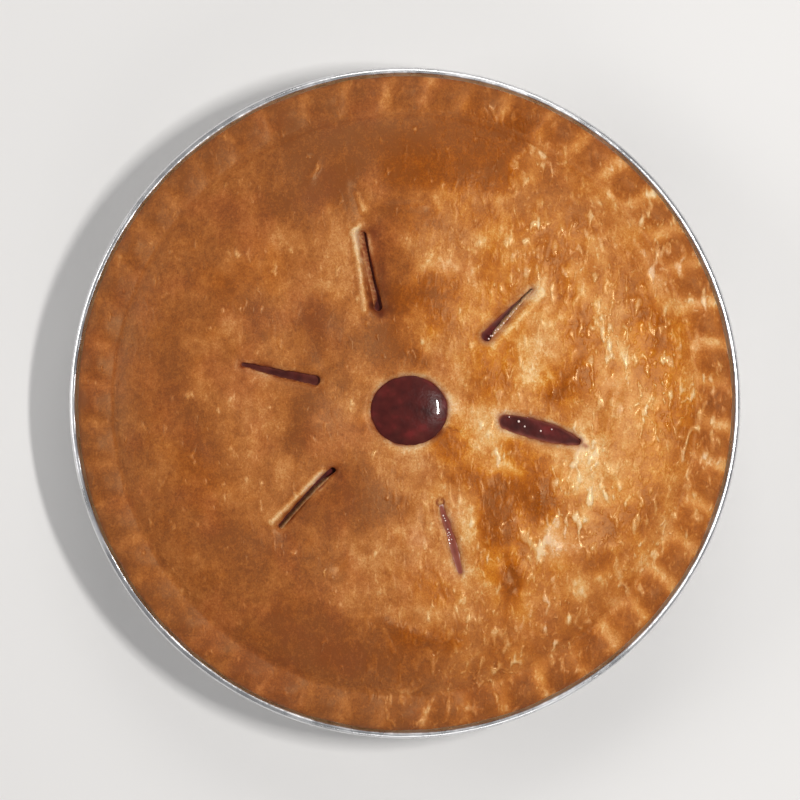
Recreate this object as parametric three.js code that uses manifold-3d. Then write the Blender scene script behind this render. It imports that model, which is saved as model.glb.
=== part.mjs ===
// A 9-inch double-crust cherry pie in its foil pan: a domed top crust with a round vent in the middle,
// six slits round it and a crimped edge, the bottom crust under it, and the cherry filling that shows
// through the vents. Millimetres, +Z up, origin on the table under the middle of the pan.
import * as THREE from "three";
import { mergeVertices } from "three/addons/utils/BufferGeometryUtils.js";
import Module from "manifold-3d";

const wasm = await Module();
wasm.setup();

// Driving dimensions
const gap = 0.35; // clearance between pieces that touch
const foil = 0.8; // wall of the pan
const panRadius = 114; // over the rolled bead
const panDepth = 30; // table to the top of the flange
const baseRadius = 88.6; // where the wall of the pan starts
const wallTopRadius = 105;
const beadRadius = 1.5;
const wallLow = 2.6; // heights between which the wall is straight
const wallHigh = 28.4;
const pleats = 48;
const pleatDepth = 0.6;
const lidPastry = 3.2; // thickness of the rolled sheet on top
const basePastry = 2.8; // and of the one below
const domeRise = 9; // middle of the lid above its sealed edge
const domeRadius = 99;
const sealHeight = 34.2; // the groove where the lid is pressed to the bottom crust
const rimSeat = 32.7; // underside of the lid's edge
const edgeRadius = 110.9; // trimmed edge of the crust
const crimps = 48;
const crimpHeight = 1.5;

const samplesPerCrimp = 4;
const fineCount = crimps * samplesPerCrimp; // segments of the crimped edge
const lidCount = fineCount / 2; // segments of the domed lid
const softCount = fineCount / 4; // segments of what is hidden under the lid

// Places where the lid has puffed up over the cherries: middle, reach and height.
const swells = [
  { x: 6, y: 31, reach: 9, height: 1.2 },
  { x: -29, y: 25, reach: 6, height: 0.9 },
  { x: 58, y: 7, reach: 8, height: 1.0 },
  { x: 45, y: -30, reach: 8, height: 1.3 },
  { x: 32, y: -42, reach: 8, height: 1.3 },
  { x: -16, y: -32, reach: 10, height: 0.6 },
  { x: -33, y: -7, reach: 7, height: 0.9 },
  { x: 15, y: -78, reach: 12, height: 0.8 },
  { x: 60, y: -50, reach: 9, height: 0.9 },
  { x: 36, y: -58, reach: 6, height: 0.8 },
  { x: 1, y: 61, reach: 8, height: 0.8 },
  { x: 17, y: 82, reach: 14, height: 0.7 },
  { x: 26, y: 11, reach: 6, height: 0.6 },
  { x: -62, y: 34, reach: 10, height: 1.1 },
  { x: -74, y: -14, reach: 9, height: 1.0 },
  { x: -57, y: -52, reach: 11, height: 1.2 },
  { x: -38, y: 70, reach: 10, height: 0.9 },
  { x: 66, y: 40, reach: 8, height: 0.7 },
];

// Creases of the lid, as straight runs with a rounded section; a height below zero is a groove.
const folds = [
  { from: [-16.5, 73], to: [-13.7, 59], width: 2.6, height: -0.6 },
  { from: [72, 5], to: [66.5, -12], width: 3, height: 0.7 },
  { from: [66.5, -12], to: [69.5, -24], width: 3, height: 0.6 },
  { from: [43, 40], to: [46, 53], width: 2.6, height: 0.6 },
  { from: [-7, -74], to: [11, -81], width: 3, height: 0.7 },
  { from: [33.5, -53], to: [37.5, -62], width: 2.6, height: -0.7 },
  { from: [-22.5, -55.5], to: [-17, -49], width: 2.6, height: -0.6 },
  { from: [-33.5, 31], to: [-27, 13], width: 3, height: -0.6 },
];

// The slits, each from its end near the middle to its outer end, with its width at the start,
// the middle and the end, and how far it bows to the left.
const slits = [
  { from: [-8.6, 30.6], to: [-14.6, 58.0], widths: [3.6, 2.7, 3.2], bow: 0.2 },
  { from: [26.1, 21.0], to: [43.0, 38.5], widths: [4.4, 2.9, 1.0], bow: 0.0 },
  { from: [32.0, -5.9], to: [59.2, -13.4], widths: [4.4, 7.0, 2.4], bow: 0.3 },
  { from: [12.0, -34.4], to: [18.8, -57.6], widths: [1.6, 2.6, 1.5], bow: 0.3 },
  { from: [-23.4, -21.7], to: [-42.4, -42.3], widths: [2.8, 2.4, 2.2], bow: -0.4 },
  { from: [-28.3, 7.3], to: [-55.2, 13.2], widths: [3.8, 3.2, 2.0], bow: 0.3 },
];

const hole = { x: 1.6, y: -2.4, radius: 12.15, flatten: 0.65, shift: -0.3 };
const gelDepth = 1.6; // top of the lid to the filling in a vent
const ventGap = 0.45; // between the filling and the edge of a vent

const point = (r, angle, z) => new THREE.Vector3(r * Math.cos(angle), r * Math.sin(angle), z);
const vectors = (pairs) => pairs.map(([x, y]) => new THREE.Vector2(x, y));
const { clamp, degToRad, lerp, smoothstep } = THREE.MathUtils;

// Smooth dome of the lid, without its swells.
function dome(r) {
  const share = Math.min(r / domeRadius, 1);
  return sealHeight + domeRise * Math.pow(1 - Math.pow(share, 5), 0.75);
}

function swellAt(swell, x, y) {
  const near = ((x - swell.x) ** 2 + (y - swell.y) ** 2) / swell.reach ** 2;
  return swell.height * Math.exp(-near);
}

function foldAt(fold, x, y) {
  const from = new THREE.Vector2(...fold.from);
  const along = new THREE.Vector2(...fold.to).sub(from);
  const t = clamp((x - from.x) * along.x + (y - from.y) * along.y, 0, along.lengthSq());
  const foot = from.addScaledVector(along, t / along.lengthSq());
  const near = ((x - foot.x) ** 2 + (y - foot.y) ** 2) / fold.width ** 2;
  return fold.height * Math.exp(-near);
}

// Height of the lid's upper face, with its swells and creases.
function lidTop(x, y) {
  const r = Math.hypot(x, y);
  const fade = 1 - smoothstep(r, 84, 97);
  const rolling = 0.3 * Math.sin(x / 5.3 + 1.1 + 0.8 * Math.sin(y / 11)) * Math.cos(y / 8.7 + 0.4);
  const puffed = swells.reduce((sum, swell) => sum + swellAt(swell, x, y), 0);
  const creased = folds.reduce((sum, fold) => sum + foldAt(fold, x, y), 0);
  return dome(r) + fade * (rolling + puffed + creased);
}

// The underside of the lid stays on the smooth dome, and lies flat where it meets the bottom crust.
const lidUnderside = (r) => Math.max(dome(r) - lidPastry, rimSeat);

// How far a crimp stands up at this angle, from 0 in a groove to about 1 on a ridge.
function crimp(angle) {
  const ridge = 0.5 + 0.5 * Math.cos(crimps * angle);
  return ridge * (0.88 + 0.12 * Math.sin(7 * angle + 1));
}

// A closed body of rings of points. Each ring has one, as many, half or twice the points of the next.
// The first ring is the top pole and the last is the bottom pole.
function ringBody(rings) {
  const points = [];
  const faces = [];
  const starts = rings.map((ring) => {
    const start = points.length;
    for (let i = 0; i < ring.count; i++) points.push(ring.at((2 * Math.PI * i) / ring.count));
    return start;
  });
  const vertex = (k, i) => starts[k] + (i % rings[k].count);
  for (let k = 0; k + 1 < rings.length; k++) {
    const inner = rings[k].count;
    const outer = rings[k + 1].count;
    const steps = Math.max(inner, outer);
    for (let i = 0; i < steps; i++) {
      const a = Math.floor((i * inner) / steps);
      const b = Math.floor((i * outer) / steps);
      const nextA = Math.floor(((i + 1) * inner) / steps);
      const nextB = Math.floor(((i + 1) * outer) / steps);
      const far = vertex(k + 1, nextB);
      if (nextB > b && outer > 1) faces.push(vertex(k, a), vertex(k + 1, b), far);
      if (nextA > a && inner > 1) faces.push(vertex(k, a), far, vertex(k, nextA));
    }
  }
  const geometry = new THREE.BufferGeometry().setFromPoints(points);
  return geometry.setIndex(faces);
}

function solid(geometry) {
  const bare = geometry.clone();
  bare.deleteAttribute("normal");
  bare.deleteAttribute("uv");
  const merged = mergeVertices(bare, 1e-4);
  const mesh = new wasm.Mesh({
    numProp: 3,
    vertProperties: new Float32Array(merged.attributes.position.array),
    triVerts: new Uint32Array(merged.index.array),
  });
  return new wasm.Manifold(mesh);
}

function geometryOf(manifold) {
  const { vertProperties, triVerts } = manifold.getMesh();
  const geometry = new THREE.BufferGeometry();
  geometry.setAttribute("position", new THREE.BufferAttribute(vertProperties, 3));
  return geometry.setIndex(new THREE.BufferAttribute(triVerts, 1));
}

// Outline of the round vent, drawn in by inset.
function holeOutline(inset) {
  const count = 40;
  return Array.from({ length: count }, (_, i) => {
    const a = (2 * Math.PI * i) / count;
    const r = hole.radius + hole.flatten * Math.cos(2 * a) + hole.shift * Math.cos(a - 0.7) - inset;
    return new THREE.Vector2(hole.x + r * Math.cos(a), hole.y + r * Math.sin(a));
  });
}

// Width of a slit at a share t of its length, a curve through its three stated widths.
function slitWidth([start, middle, end], t) {
  return start * (1 - t) * (1 - 2 * t) + 4 * middle * t * (1 - t) + end * t * (2 * t - 1);
}

// Outline of a slit with round ends, drawn in by inset at its sides and by twice that at its ends.
function slitOutline(slit, inset) {
  const steps = 10;
  const from = new THREE.Vector2(...slit.from);
  const along = new THREE.Vector2(...slit.to).sub(from);
  const length = along.length();
  along.normalize();
  const left = new THREE.Vector2(-along.y, along.x);
  const side = (sign, i) => {
    const t = 0.5 - 0.5 * Math.cos((Math.PI * i) / steps);
    const rounding = Math.sqrt(1 - Math.abs(2 * t - 1) ** 5);
    const half = Math.max(slitWidth(slit.widths, t) / 2 - inset, 0.2) * rounding;
    const across = sign * half + slit.bow * Math.sin(Math.PI * t);
    const reach = lerp(2 * inset, length - 2 * inset, t);
    return from.clone().addScaledVector(along, reach).addScaledVector(left, across);
  };
  const right = Array.from({ length: steps }, (_, i) => side(-1, i));
  const back = Array.from({ length: steps }, (_, i) => side(1, steps - i));
  return [...right, ...back];
}

function prism(outline, low, high) {
  const shape = new THREE.Shape(outline);
  const geometry = new THREE.ExtrudeGeometry(shape, { depth: high - low, bevelEnabled: false });
  return solid(geometry.translate(0, 0, low));
}

const around = (count, r, z) => ({ count, at: (angle) => point(r, angle, z) });
const pole = (z) => ({ count: 1, at: () => new THREE.Vector3(0, 0, z) });

// Rings of the hidden face between the lid and the filling, dropped by the given amount.
const hiddenRadii = [16, 34, 50, 64, 76, 85, 92, 96.5];
const hiddenRings = (drop) => hiddenRadii.map((r) => around(softCount, r, lidUnderside(r) - drop));

// Rings of the lid's upper face, close enough to hold its swells.
const innerRadii = [8, 16, 23];
const outerRadii = [29, 35, 41, 47, 53, 59, 65, 71, 77, 83, 88.5, 93.5];

function topCrust() {
  const surface = (count, r) => ({
    count,
    at: (angle) => point(r, angle, lidTop(r * Math.cos(angle), r * Math.sin(angle))),
  });
  const crimped = (r, z, lift, spread = 0) => ({
    count: fineCount,
    at: (angle) => point(r + spread * crimp(angle), angle, z + lift * crimp(angle)),
  });
  const rings = [
    { count: 1, at: () => new THREE.Vector3(0, 0, lidTop(0, 0)) },
    ...innerRadii.map((r) => surface(softCount, r)),
    ...outerRadii.map((r) => surface(lidCount, r)),
    crimped(98.3, sealHeight, 0.15),
    crimped(101.3, sealHeight + 0.2, 0.5 * crimpHeight),
    crimped(104.8, sealHeight + 0.1, crimpHeight),
    crimped(108.4, sealHeight - 0.3, 0.9 * crimpHeight),
    crimped(edgeRadius - 0.4, sealHeight - 0.7, 0.4 * crimpHeight, 0.4),
    crimped(edgeRadius - 0.8, rimSeat, 0, 0.4),
    around(lidCount, 104, rimSeat),
    ...hiddenRings(0).reverse(),
    pole(lidUnderside(0)),
  ];
  const low = lidUnderside(80) - 2;
  const high = sealHeight + domeRise + 4;
  const vents = [holeOutline(0), ...slits.map((slit) => slitOutline(slit, 0))];
  return vents.reduce(
    (crust, outline) => crust.subtract(prism(outline, low, high)),
    solid(ringBody(rings)),
  );
}

// Radius of the pan's wall at a height, and of the crust and the filling inside it. A level line
// through the sloping wall is longer than the wall is thick.
const wallSlope = (wallTopRadius - baseRadius) / (wallHigh - wallLow);
const level = Math.hypot(1, wallSlope);
const outerWall = (z) => baseRadius + (z - wallLow) * wallSlope;
const innerWall = (z) => outerWall(z) - level * foil;
const crustOutside = (z) => innerWall(z) - pleatDepth - level * gap;
const crustInside = (z) => crustOutside(z) - level * basePastry;
const fillingSide = (z) => crustInside(z) - level * gap;
const floorTop = foil + gap + basePastry;

function bottomCrust() {
  const rimTop = rimSeat - gap;
  const rimBottom = panDepth + gap;
  const profile = [
    [0, foil + gap],
    [baseRadius - 4.7, foil + gap],
    [baseRadius - 2.4, foil + gap + 0.9],
    [crustOutside(3.2), 3.2],
    [crustOutside(16), 16],
    [crustOutside(29.2), 29.2],
    [wallTopRadius + 0.7, rimBottom],
    [edgeRadius - 1.6, rimBottom],
    [edgeRadius - 1.1, (rimBottom + rimTop) / 2],
    [edgeRadius - 1.5, rimTop],
    [crustInside(rimTop), rimTop],
    [crustInside(20), 20],
    [crustInside(floorTop + 2), floorTop + 2],
    [fillingSide(floorTop) - 2, floorTop],
    [0, floorTop],
  ];
  return new THREE.LatheGeometry(vectors(profile), softCount).rotateX(Math.PI / 2);
}

function filling() {
  const floor = floorTop + gap;
  const rings = [
    pole(lidUnderside(0) - gap),
    ...hiddenRings(gap),
    around(softCount, fillingSide(rimSeat - gap), rimSeat - gap),
    around(softCount, fillingSide(20), 20),
    around(softCount, fillingSide(floor + 2), floor + 2),
    around(softCount, fillingSide(floor) - 2.2, floor),
    pole(floor),
  ];
  const body = solid(ringBody(rings));
  const risen = slits.map((slit) => {
    const [x, y] = [0, 1].map((axis) => (slit.from[axis] + slit.to[axis]) / 2);
    const under = lidUnderside(Math.hypot(x, y)) - 2;
    return prism(slitOutline(slit, ventGap), under, lidTop(x, y) - gelDepth);
  });
  return [gelInHole(), ...risen].reduce((whole, piece) => whole.add(piece), body);
}

// The gel that has come up in the round vent, a low crowned plug.
function gelInHole() {
  const brim = lidTop(hole.x, hole.y) - gelDepth;
  const under = lidUnderside(0) - 2;
  const middle = (z) => ({ count: 1, at: () => new THREE.Vector3(hole.x, hole.y, z) });
  const ring = (inset, z) => {
    const outline = holeOutline(inset);
    const { length: count } = outline;
    const corner = (angle) => outline[Math.round((angle * count) / (2 * Math.PI)) % count];
    return { count, at: (angle) => new THREE.Vector3(corner(angle).x, corner(angle).y, z) };
  };
  const rings = [
    middle(brim + 0.6),
    ring(8, brim + 0.45),
    ring(4, brim + 0.1),
    ring(1.4, brim - 0.3),
    ring(ventGap, brim - 0.8),
    ring(ventGap, under),
    middle(under),
  ];
  return solid(ringBody(rings));
}

function pan() {
  const beadZ = panDepth - 0.7;
  const beadX = panRadius - beadRadius;
  const beadArc = Array.from({ length: 6 }, (_, i) => {
    const a = degToRad(184 + i * 65.6);
    return [beadX + beadRadius * Math.cos(a), beadZ + beadRadius * Math.sin(a)];
  });
  const outer = [
    [0, 0],
    [baseRadius - 4.1, 0],
    [baseRadius - 1.4, 0.9],
    [outerWall(wallLow), wallLow],
    [outerWall(15.5), 15.5],
    [outerWall(wallHigh), wallHigh],
    [wallTopRadius + 1.3, panDepth - foil],
  ];
  const inner = [
    [wallTopRadius + 1.3, panDepth],
    [innerWall(wallHigh), wallHigh + 0.4],
    [innerWall(15.5), 15.5],
    [innerWall(wallLow + 0.4), wallLow + 0.4],
    [baseRadius - 1.9, 2 * foil],
    [baseRadius - 4.2, foil],
    [0, foil],
  ];
  const geometry = new THREE.LatheGeometry(vectors([...outer, ...beadArc, ...inner]), 2 * pleats);
  return pleated(geometry).rotateX(Math.PI / 2);
}

// Every second line up the wall is pushed in and the others out, which makes the pleats.
function pleated(geometry) {
  const position = geometry.attributes.position;
  for (let i = 0; i < position.count; i++) {
    const [x, height, z] = [position.getX(i), position.getY(i), position.getZ(i)];
    const r = Math.hypot(x, z);
    const onWall = r > baseRadius - 2 && r < wallTopRadius + 1 && height > wallLow - 0.1;
    if (!onWall) continue;
    const line = Math.round((Math.atan2(z, x) * pleats) / Math.PI);
    const middle = height > wallLow + 1 && height < wallHigh - 1;
    const depth = middle ? pleatDepth : 0.5 * pleatDepth;
    const scale = (r + (line % 2 === 0 ? depth : -depth)) / r;
    position.setXYZ(i, x * scale, height, z * scale);
  }
  geometry.computeVertexNormals();
  return geometry;
}

const finishes = {
  pan: new THREE.MeshStandardMaterial({ color: 0xc9cacc, roughness: 0.35, metalness: 1 }),
  bottomCrust: new THREE.MeshStandardMaterial({ color: 0xd9a763, roughness: 0.7, metalness: 0 }),
  topCrust: new THREE.MeshStandardMaterial({ color: 0xcf8b4a, roughness: 0.45, metalness: 0 }),
  filling: new THREE.MeshStandardMaterial({ color: 0x4a1219, roughness: 0.12, metalness: 0 }),
};

const pie = new THREE.Group();
const pieces = [
  ["pan", pan(), finishes.pan],
  ["bottom_crust", bottomCrust(), finishes.bottomCrust],
  ["filling", geometryOf(filling()), finishes.filling],
  ["top_crust", geometryOf(topCrust()), finishes.topCrust],
];
for (const [name, geometry, finish] of pieces) {
  const mesh = new THREE.Mesh(geometry, finish);
  mesh.name = name;
  pie.add(mesh);
}

export default pie;
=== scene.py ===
import math

import bmesh
import bpy
import numpy as np
from mathutils import Matrix, Vector, noise


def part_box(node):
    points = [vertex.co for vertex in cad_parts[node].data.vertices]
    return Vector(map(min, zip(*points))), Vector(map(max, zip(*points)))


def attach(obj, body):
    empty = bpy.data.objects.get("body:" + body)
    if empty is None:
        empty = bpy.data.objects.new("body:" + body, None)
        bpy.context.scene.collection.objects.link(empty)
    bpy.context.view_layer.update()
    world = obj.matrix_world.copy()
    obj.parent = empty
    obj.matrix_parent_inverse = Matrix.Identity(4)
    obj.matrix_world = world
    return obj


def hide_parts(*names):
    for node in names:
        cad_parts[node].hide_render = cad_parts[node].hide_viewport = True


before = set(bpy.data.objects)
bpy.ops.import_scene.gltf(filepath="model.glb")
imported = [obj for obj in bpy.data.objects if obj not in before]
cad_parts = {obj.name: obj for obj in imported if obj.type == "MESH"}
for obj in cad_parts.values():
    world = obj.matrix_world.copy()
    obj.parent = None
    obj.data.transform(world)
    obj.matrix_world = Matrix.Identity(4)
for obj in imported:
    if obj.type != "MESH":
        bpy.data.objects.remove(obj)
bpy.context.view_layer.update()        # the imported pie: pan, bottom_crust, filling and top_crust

# shapes are worked out in millimetres, and finishPiece brings them to metres
mm = 0.001
beadStands = 0.8                     # how far the pan's bead stands over its flange
lidLow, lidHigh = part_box("top_crust")
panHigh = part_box("pan")[1]
edgeRadius = lidHigh.x / mm          # trimmed edge of the crust
rimSeat = lidLow.z / mm              # underside of the lid's edge
panRadius = panHigh.x / mm
flangeTop = panHigh.z / mm - beadStands

octaveFall = 0.8                     # how fast the finer octaves of the noise weaken
octaveRatio = 2.1                    # and how much finer each one is


def smoothStep(low, high, value):
    # from 0 at low to 1 at high; high may be the smaller one
    t = np.clip((value - low) / (high - low), 0.0, 1.0)
    return t * t * (3 - 2 * t)


def noiseField(x, y, size, seed, octaves=1):
    # Perlin noise over the pie, about -1 to 1, with lumps of a size in mm, or of a size across and one along
    sizeX, sizeY = size if isinstance(size, tuple) else (size, size)
    return np.array([noise.fractal((a, b, seed), octaveFall, octaveRatio, octaves)
                     for a, b in zip(x / sizeX, y / sizeY)])


def spotField(spots, x, y):
    # each spot is (x, y, reach, strength) in mm
    total = np.zeros_like(x)
    for spotX, spotY, reach, strength in spots:
        total += strength * np.exp(-((x - spotX) ** 2 + (y - spotY) ** 2) / reach ** 2)
    return total


def lineField(lines, x, y):
    # each line is (x1, y1, x2, y2, width, height): a rounded ridge, or a groove below zero
    total = np.zeros_like(x)
    for x1, y1, x2, y2, width, height in lines:
        alongX, alongY = x2 - x1, y2 - y1
        t = np.clip(((x - x1) * alongX + (y - y1) * alongY) / (alongX ** 2 + alongY ** 2), 0, 1)
        near = ((x - x1 - t * alongX) ** 2 + (y - y1 - t * alongY) ** 2) / width ** 2
        total += height * np.exp(-near)
    return total


def coordinates(verts):
    # arrays of the x, the y and the z of some vertices
    return np.array([v.co[:] for v in verts]).T


def newRing(bm, edges):
    # extrudes a loop of open edges; returns pairs of (new vertex, the vertex it came from) and the new loop
    made = bmesh.ops.extrude_edge_only(bm, edges=edges)["geom"]
    fresh = {v for v in made if isinstance(v, bmesh.types.BMVert)}
    loop = [e for e in made if isinstance(e, bmesh.types.BMEdge)
            and e.verts[0] in fresh and e.verts[1] in fresh]
    pairs = []
    for vert in fresh:
        source = next(e.other_vert(vert) for e in vert.link_edges if e.other_vert(vert) not in fresh)
        pairs.append((vert, source))
    return pairs, loop


def ringTo(bm, edges, radius, height):
    # the same, with the new loop drawn out or in to a radius, at one height
    pairs, loop = newRing(bm, edges)
    for vert, source in pairs:
        vert.co.xy = source.co.xy * (radius / source.co.xy.length)
        vert.co.z = height
    return pairs, loop


def addObject(name, data):
    made = bpy.data.objects.new(name, data)
    bpy.context.scene.collection.objects.link(made)
    return made


def addMesh(bm, name, material):
    mesh = bpy.data.meshes.new(name)
    bm.to_mesh(mesh)
    bm.free()
    mesh.materials.append(material)
    return addObject(name, mesh)


def finishPiece(bm, name, material, node):
    # makes a closed body in millimetres a piece of the pie, which stands for a node
    bmesh.ops.scale(bm, vec=(mm, mm, mm), verts=bm.verts)
    piece = addMesh(bm, name, material)
    piece.data.shade_smooth()
    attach(piece, "root")
    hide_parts(node)
    print(name, "has", sum(len(p.vertices) - 2 for p in piece.data.polygons), "triangles")


# shader nodes

def addNode(tree, kind, inputs=None, **settings):
    node = tree.nodes.new(kind)
    for key, value in settings.items():
        setattr(node, key, value)
    for key, value in (inputs or {}).items():
        if isinstance(value, bpy.types.NodeSocket):
            tree.links.new(value, node.inputs[key])
        else:
            node.inputs[key].default_value = value
    return node


def math2(tree, operation, a, b):
    return addNode(tree, "ShaderNodeMath", {0: a, 1: b}, operation=operation).outputs[0]


def mixColour(tree, factor, a, b, blend="MIX"):
    # sockets 6 and 7 are the two colours of a Mix node, and output 2 is its colour
    mixed = addNode(tree, "ShaderNodeMix", {0: factor, 6: a, 7: b}, data_type="RGBA", blend_type=blend)
    return mixed.outputs[2]


def tintBy(tree, colour, tint):
    return mixColour(tree, 1.0, colour, tint, "MULTIPLY")


def attribute(tree, name):
    return addNode(tree, "ShaderNodeAttribute", attribute_name=name).outputs["Fac"]


def objectNoise(tree, size, stretch=1.0, detail=2, roughness=0.5, distortion=0.0):
    # noise on Object coordinates with lumps of a size in mm, drawn out along Y by the stretch
    where = addNode(tree, "ShaderNodeTexCoord").outputs["Object"]
    scale = (1 / (size * mm), 1 / (size * stretch * mm), 1 / (size * mm))
    placed = addNode(tree, "ShaderNodeMapping", {"Vector": where, "Scale": scale}).outputs[0]
    cloud = addNode(tree, "ShaderNodeTexNoise", {"Vector": placed, "Scale": 1.0, "Detail": detail,
                                                 "Roughness": roughness, "Distortion": distortion})
    return cloud.outputs["Fac"]


def between(tree, value, low, high, start=0.0, end=1.0):
    # goes smoothly from start to end as the value goes from low to high
    node = addNode(tree, "ShaderNodeMapRange", {0: value, 1: low, 2: high, 3: start, 4: end},
                   interpolation_type="SMOOTHSTEP")
    return node.outputs[0]


def rampOf(tree, factor, stops):
    # each stop is (place, linear colour)
    node = addNode(tree, "ShaderNodeValToRGB", {"Fac": factor})
    ramp = node.color_ramp
    while len(ramp.elements) < len(stops):
        ramp.elements.new(0.5)
    for element, (place, colour) in zip(ramp.elements, stops):
        element.position = place
        element.color = (*colour, 1)
    return node.outputs["Color"]


def bumped(tree, shader, height, strength=1.0):
    # height is in mm
    bump = addNode(tree, "ShaderNodeBump", {"Height": height, "Strength": strength, "Distance": mm})
    tree.links.new(bump.outputs["Normal"], shader.inputs["Normal"])


def newGroup(name, inputs, outputs):
    # a node group; its inputs are numbers with these values to start with
    tree = bpy.data.node_groups.new(name, "ShaderNodeTree")
    for socket, value in inputs.items():
        made = tree.interface.new_socket(socket, in_out="INPUT", socket_type="NodeSocketFloat")
        made.default_value = value
    for socket, kind in outputs.items():
        tree.interface.new_socket(socket, in_out="OUTPUT", socket_type=kind)
    return tree, tree.nodes.new("NodeGroupInput"), tree.nodes.new("NodeGroupOutput")


def newMaterial(name, sockets):
    material = bpy.data.materials.new(name)
    material.use_nodes = True
    tree = material.node_tree
    shader = tree.nodes["Principled BSDF"]
    for socket, value in sockets.items():
        shader.inputs[socket].default_value = value
    return material, tree, shader


# what the top and the bottom crust share: linear colours, and sizes in mm
crustFinish = {
    "tones": [(0.0, (0.79, 0.565, 0.32)), (0.2, (0.67, 0.38, 0.158)), (0.4, (0.54, 0.230, 0.070)),
              (0.6, (0.42, 0.143, 0.033)), (0.8, (0.31, 0.092, 0.019)), (1.0, (0.215, 0.060, 0.014))],
    "clouds": [(0.55, 1, 1.1), (2.2, 2, 0.9), (9, 3, 0.6)],     # size, detail, and share of the mottling
    "washTint": (1.04, 0.8, 0.16, 1),                           # amber, where the egg wash lies
    "rosyTint": (0.98, 0.84, 0.95, 1),
    "rosySize": 15,
    "freckle": (0.16, 0.05, 0.015, 1),
    "freckleSize": 0.7,
    "blisterHeight": 0.42,
    "grainHeight": 0.06,
}


def crustColourGroup():
    # turns a value from 0 pale to 1 dark, the browning and, on the lid, painted shade and highlight, into
    # baked pastry with fine mottling and freckles
    tree, given, out = newGroup("bakedCrustColour",
                                {"BrowningAndPaintedLight": 0.4, "Wash": 0.0, "Mottle": 0.3, "Freckles": 0.3},
                                {"Color": "NodeSocketColor"})
    value = given.outputs["BrowningAndPaintedLight"]
    for size, detail, share in crustFinish["clouds"]:
        cloud = math2(tree, "SUBTRACT", objectNoise(tree, size, 1.15, detail, 0.5, 0.8), 0.5)
        amount = math2(tree, "MULTIPLY", given.outputs["Mottle"], share)
        value = math2(tree, "ADD", value, math2(tree, "MULTIPLY", cloud, amount))
    baked = rampOf(tree, value, crustFinish["tones"])
    washed = math2(tree, "MULTIPLY", given.outputs["Wash"], between(tree, value, 0.1, 0.5, 0.35, 1))
    baked = mixColour(tree, washed, baked, tintBy(tree, baked, crustFinish["washTint"]))
    rosy = between(tree, objectNoise(tree, crustFinish["rosySize"], 1.2), 0.45, 0.7, 0, 0.6)
    rosy = math2(tree, "MULTIPLY", rosy, between(tree, washed, 0, 0.7, 1, 0))
    tinted = mixColour(tree, rosy, baked, tintBy(tree, baked, crustFinish["rosyTint"]))
    specks = between(tree, objectNoise(tree, crustFinish["freckleSize"], 1.0, 2, 0.7), 0.70, 0.76)
    specks = math2(tree, "MULTIPLY", specks, given.outputs["Freckles"])
    freckled = mixColour(tree, specks, tinted, crustFinish["freckle"])
    tree.links.new(freckled, out.inputs["Color"])
    return tree


def blisterGroup():
    # the small blisters and wrinkles of a glazed sheet: their height in mm, and where their crests are
    tree, given, out = newGroup("glazedBlisters", {"Strength": 1.0, "Grain": 1.0},
                                {"Height": "NodeSocketFloat", "Crest": "NodeSocketFloat"})
    large = between(tree, objectNoise(tree, 2.7, 2.2, 1, 0.5, 0.3), 0.51, 0.77)
    small = between(tree, objectNoise(tree, 1.6, 1.7, 1, 0.5, 0.3), 0.56, 0.82, 0, 0.7)
    crest = math2(tree, "MULTIPLY", math2(tree, "MAXIMUM", large, small), given.outputs["Strength"])
    lone = between(tree, objectNoise(tree, 2.4, 2.0, 1), 0.62, 0.88, 0, 0.8)      # a few on smooth crust too
    crest = math2(tree, "MAXIMUM", crest, lone)
    grain = math2(tree, "SUBTRACT", objectNoise(tree, 0.75, 1.1, 3, 0.65), 0.5)
    grain = math2(tree, "MULTIPLY", grain, given.outputs["Grain"])
    height = math2(tree, "ADD", math2(tree, "MULTIPLY", crest, crustFinish["blisterHeight"]),
                   math2(tree, "MULTIPLY", grain, crustFinish["grainHeight"]))
    tree.links.new(height, out.inputs["Height"])
    tree.links.new(crest, out.inputs["Crest"])
    return tree


crustColour = crustColourGroup()
glazedBlisters = blisterGroup()

pastryFinish = {
    "grain": 0.9,
    # painted highlight: the crests of the blisters are painted paler, standing for the sheen on them
    "crestPaintedHighlight": 0.46,          # how much paler the crests of the blisters are
    "puffDark": 0.04,           # and how much darker blistered crust is
    "mottle": (0.5, 0.4),       # on smooth and on blistered crust
    "freckles": 0.5,
    "juice": [(0, (1, 1, 1)), (0.5, (0.46, 0.24, 0.24)), (1, (0.13, 0.045, 0.05))],
    "gloss": (0.42, 0.2),       # roughness between the crests and on them
    "dryDull": 0.2,
    "juiceDull": 0.3,
    "sockets": {"Subsurface Weight": 0.12, "Subsurface Radius": (1.0, 0.45, 0.18),
                "Subsurface Scale": 0.0018, "Specular IOR Level": 0.42,
                "Specular Tint": (1.0, 0.77, 0.42, 1)},
}


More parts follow.
